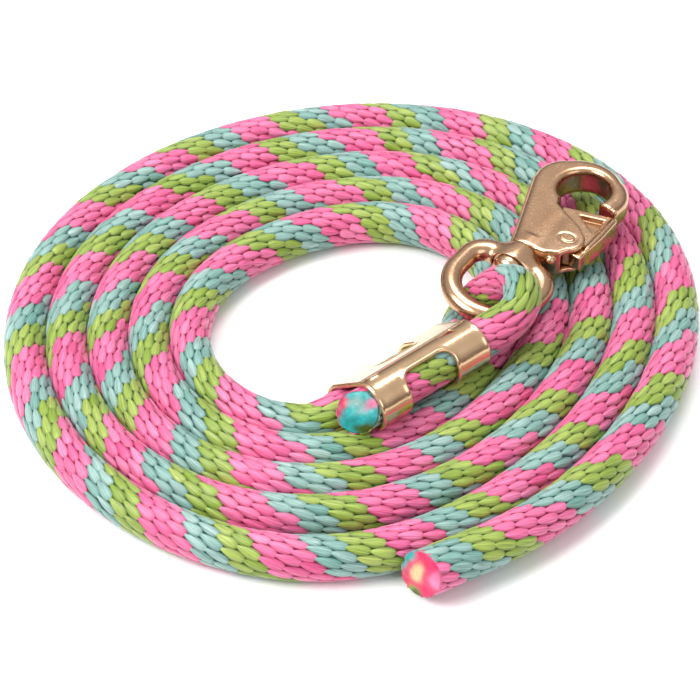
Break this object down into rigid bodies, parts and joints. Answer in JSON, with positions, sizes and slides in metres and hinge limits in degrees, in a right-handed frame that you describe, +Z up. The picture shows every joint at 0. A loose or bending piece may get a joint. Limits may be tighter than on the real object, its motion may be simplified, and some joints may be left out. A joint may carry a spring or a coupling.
{
  "type": "lead rope",
  "caption": "Braided lead rope lying in a flat coil, doubled through the eye of a swivel trigger snap and held by a two-band metal clamp.",
  "frame": {"origin": "bottom of the part, under the middle of its bounding box, with the coil resting on z = 0", "axes": "+Z up from the coil's resting plane; +Y away from the free end of the rope; the snap points towards +X and +Y"},
  "size_m": [0.2498, 0.2593, 0.0413],
  "materials": {
    "braid": "glossy plaited yarn in pink, lime and aqua bands",
    "clamp_metal": "bright plated sheet",
    "snap_metal": "smooth satin casting, rose tinted",
    "spring_steel": "drawn wire"
  },
  "bodies": {
    "rope": {"rope_coil": "braid", "rope_end": "braid", "rope_loop": "braid", "rope_clamp": "clamp_metal"},
    "eye": {"swivel_eye": "snap_metal"},
    "snap": {"snap_body": "snap_metal", "trigger_pin": "snap_metal", "trigger_spring": "spring_steel"},
    "trigger": {"trigger": "snap_metal"}
  },
  "joints": [
    {"name": "eye_swing", "type": "hinge", "parent": "rope", "child": "eye", "pos_m": [0.05548, -0.01248, 0.02141], "axis": [0.9518, 0.3041, -0.0396], "range_deg": [0, 30]},
    {"name": "snap_swivel", "type": "hinge", "parent": "eye", "child": "snap", "pos_m": [0.05964, 0.01427, 0.02393], "axis": [0.583, 0.8114, 0.0419], "range_deg": [-8, 8]},
    {"name": "trigger_press", "type": "hinge", "parent": "snap", "child": "trigger", "pos_m": [0.07836, 0.02026, 0.02459], "axis": [-0.0244, -0.034, 0.9991], "range_deg": [0, 34], "stiffness_Nm_per_rad": 0.12, "springref_deg": -20.05}
  ]
}
